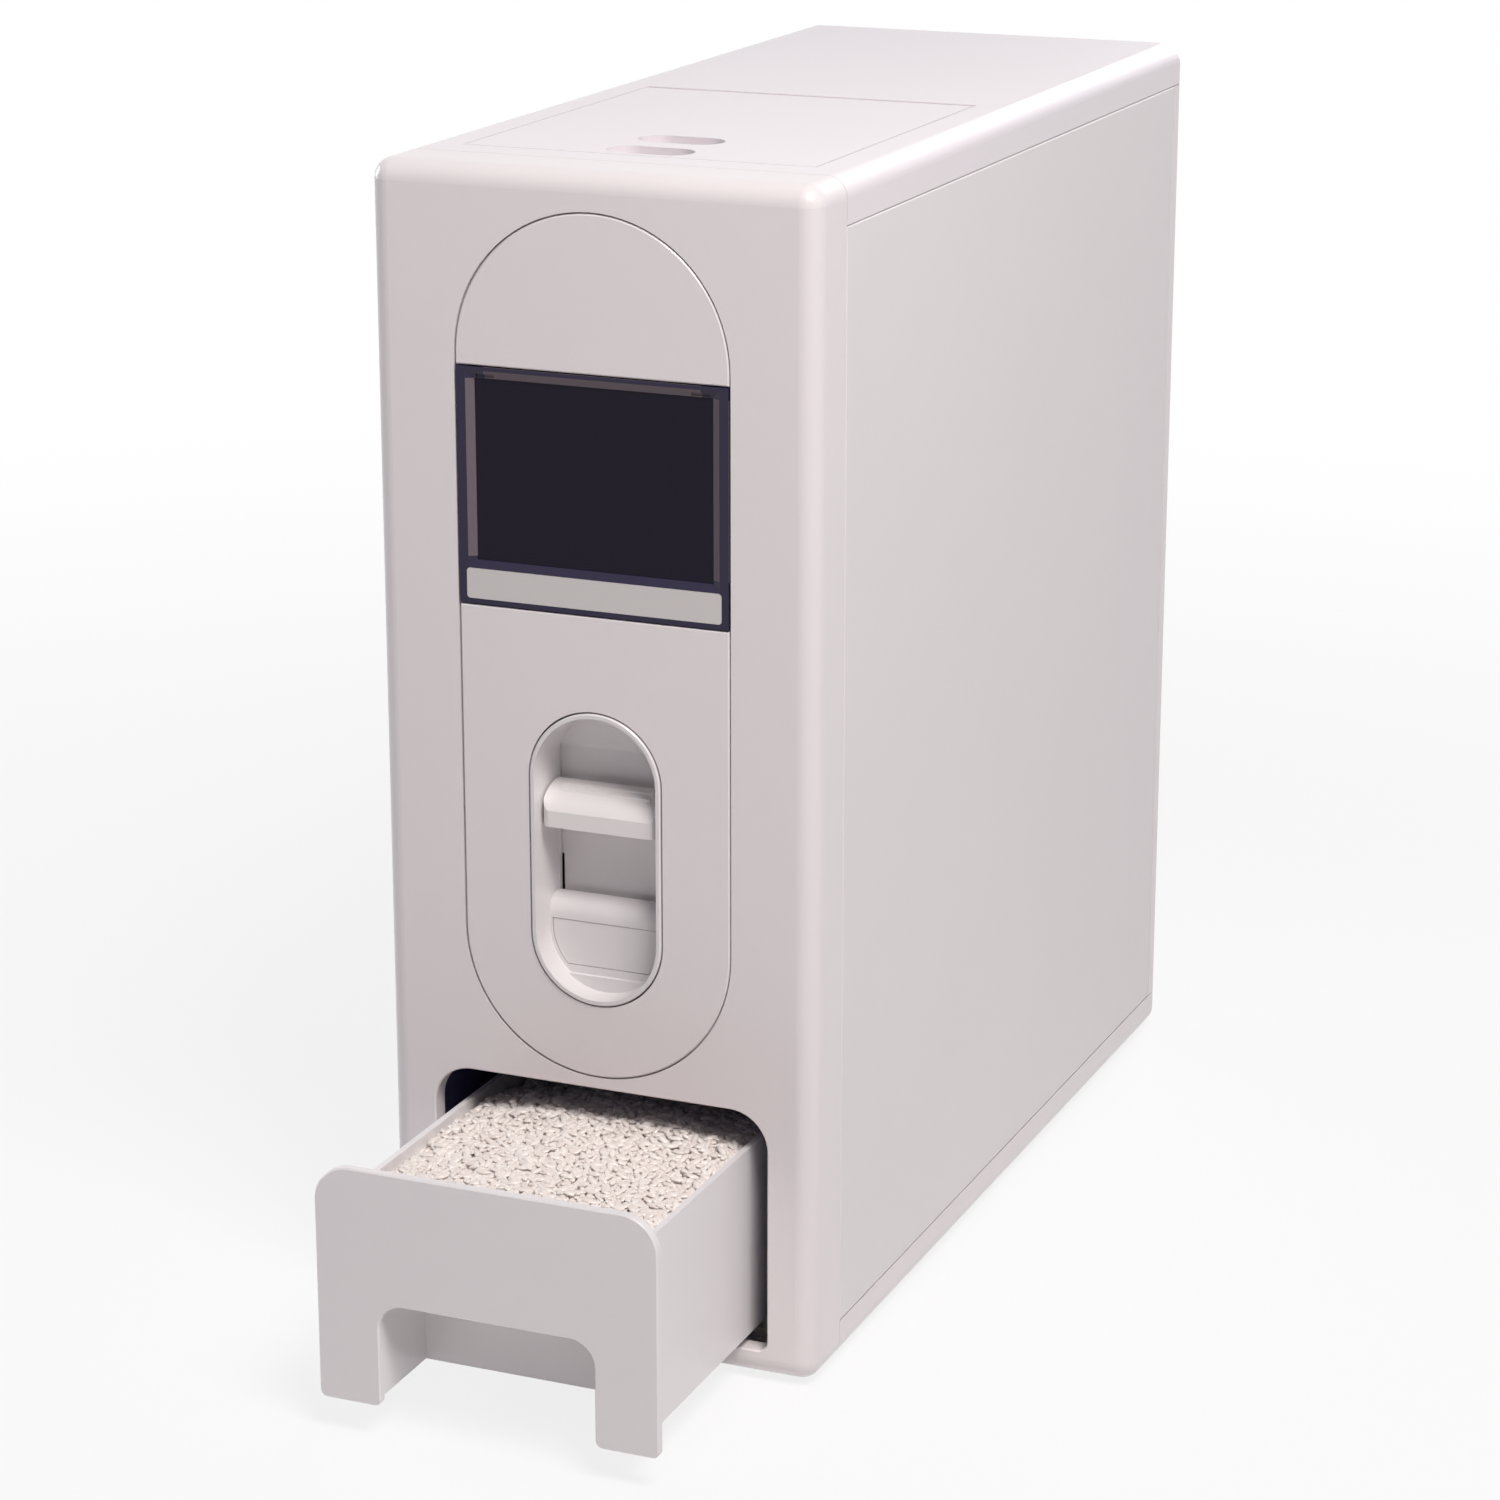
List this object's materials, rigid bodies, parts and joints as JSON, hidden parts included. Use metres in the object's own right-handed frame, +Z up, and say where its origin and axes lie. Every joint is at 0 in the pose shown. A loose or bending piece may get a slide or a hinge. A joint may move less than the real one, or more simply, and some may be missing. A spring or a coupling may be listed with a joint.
{
  "type": "rice dispenser with drawer",
  "caption": "Slim upright rice dispenser: grain hopper with a window and lift-up lid, a press lever that turns a metering drum, and a pull-out catch drawer at the foot.",
  "frame": {"origin": "on the floor, under the middle of the whole object with its drawer drawn out as at rest", "axes": "+Z up, +Y from the front to the back, +X to the right as seen by the user"},
  "size_m": [0.16, 0.48, 0.414],
  "materials": {
    "cabinet_white": "satin white",
    "panel_white": "smooth satin white",
    "side_white": "satin white, very fine grain",
    "lid_white": "smooth satin white",
    "window_dark": "polished dark violet-black",
    "window_tint": "clear, smoke tinted",
    "strip_grey": "smooth light grey",
    "bezel_white": "smooth satin white",
    "lever_white": "smooth white",
    "mechanism_grey": "moulded, natural",
    "gear_white": "low-friction moulding, natural",
    "hopper_clear": "translucent, food grade",
    "bay_dark": "dark navy, fine grain",
    "drawer_white": "smooth satin white",
    "rubber_grey": "soft, dull",
    "seal_white": "silicone, translucent",
    "spring_steel": "drawn wire",
    "screw_steel": "plated"
  },
  "bodies": {
    "cabinet": {"front_fascia": "cabinet_white", "top_cover": "cabinet_white", "base_tray": "cabinet_white", "back_panel": "cabinet_white", "left_side_panel": "side_white", "right_side_panel": "side_white", "upper_face_panel": "panel_white", "lower_face_panel": "panel_white", "lid_gasket": "seal_white", "lid_hinge_pins": "screw_steel", "rubber_feet": "rubber_grey", "window_frame": "window_dark", "window_lens": "window_tint", "window_strip": "strip_grey", "window_gasket": "rubber_grey", "lever_bezel": "bezel_white", "label_plate": "lever_white", "lever_guide": "mechanism_grey", "return_spring": "spring_steel", "metering_housing": "mechanism_grey", "right_end_plate": "mechanism_grey", "left_end_plate": "mechanism_grey", "wiper_strips": "seal_white", "throat_gasket": "seal_white", "discharge_chute": "mechanism_grey", "hopper": "hopper_clear", "hopper_support": "mechanism_grey", "bay_deck": "bay_dark", "right_runner": "gear_white", "left_runner": "gear_white", "drawer_stop": "bay_dark", "drawer_buffers": "rubber_grey"},
    "drawer": {"drawer_front": "drawer_white", "drawer_box": "drawer_white"},
    "lid": {"lid": "lid_white"},
    "lever": {"lever_knob": "lever_white", "lever_slide": "mechanism_grey"},
    "drum": {"metering_drum": "gear_white", "drum_shaft": "screw_steel", "drive_pinion": "gear_white"}
  },
  "joints": [
    {"name": "drawer_slide", "type": "slide", "parent": "cabinet", "child": "drawer", "axis": [0, -1, 0], "range_m": [-0.09, 0.04]},
    {"name": "lid_hinge", "type": "hinge", "parent": "cabinet", "child": "lid", "pos_m": [0, 0.0376, 0.411], "axis": [-1, 0, 0], "range_deg": [0, 95]},
    {"name": "lever_press", "type": "slide", "parent": "cabinet", "child": "lever", "axis": [0, 0, 1], "range_m": [-0.025, 0], "stiffness_N_per_m": 150, "springref_m": 0.02, "deforming": ["return_spring"]},
    {"name": "drum_turn", "type": "hinge", "parent": "cabinet", "child": "drum", "pos_m": [0, -0.088, 0.14], "axis": [1, 0, 0], "range_deg": [0, 179.2]}
  ],
  "couplings": [
    {"joint": "drum_turn", "follows": "lever_press", "rad_per_m": -125}
  ]
}
